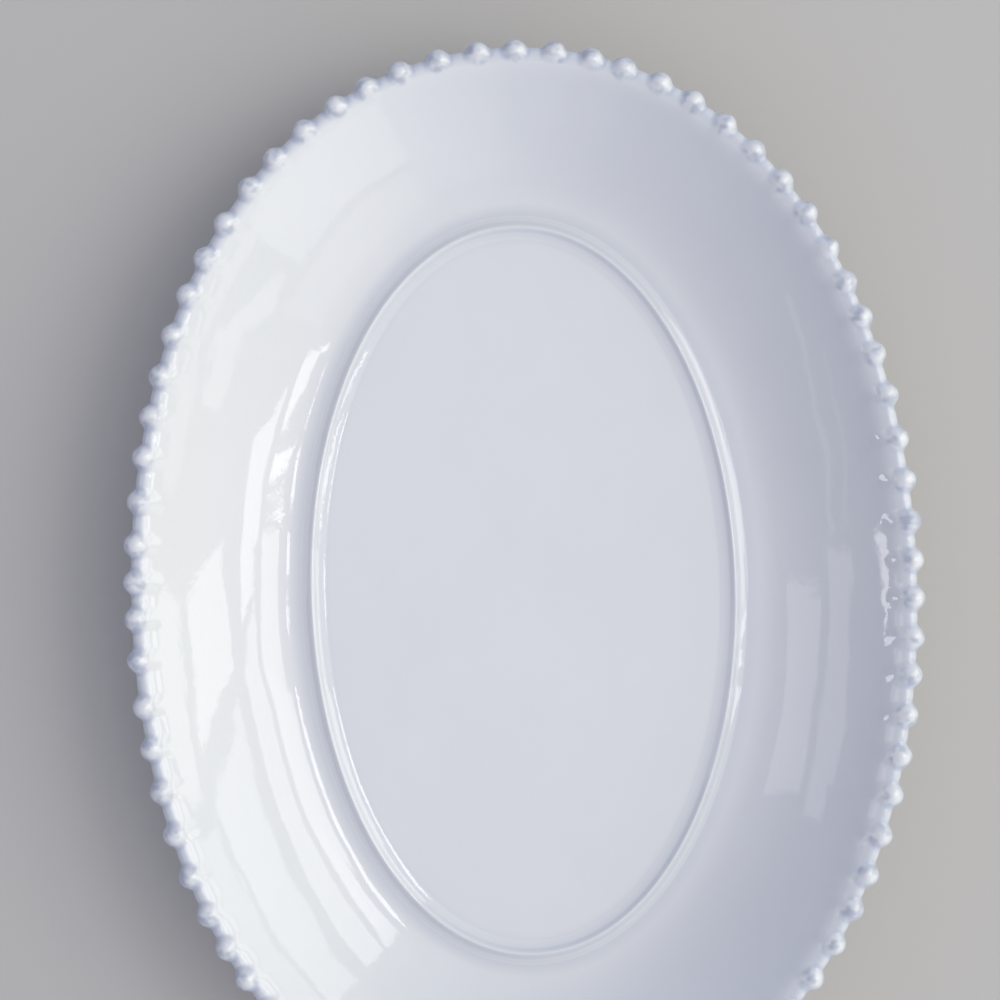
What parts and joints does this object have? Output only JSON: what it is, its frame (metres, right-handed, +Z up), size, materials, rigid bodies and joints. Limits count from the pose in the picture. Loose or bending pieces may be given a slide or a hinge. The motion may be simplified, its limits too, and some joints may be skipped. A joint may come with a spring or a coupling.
{
  "type": "serving platter",
  "caption": "Deep oval serving platter in white glazed stoneware, with a beaded rim, a raised line round the flat well, and a low oval foot ring.",
  "frame": {"origin": "centre of the oval on the plane that the foot ring stands on", "axes": "+Z up, out of the dish; +Y along the oval's long axis; +X along its short axis"},
  "size_m": [0.2896, 0.3999, 0.0458],
  "materials": {
    "body": "bare fired stoneware, fine and matt",
    "glaze": "cool white gloss glaze"
  },
  "bodies": {
    "root": {"well_floor": "body", "verge_ring": "body", "dish_wall": "body", "foot_ring": "body", "rim_band": "glaze", "rim_beads": "glaze", "glaze_face": "glaze", "glaze_back": "glaze", "glaze_base": "glaze"}
  },
  "joints": []
}
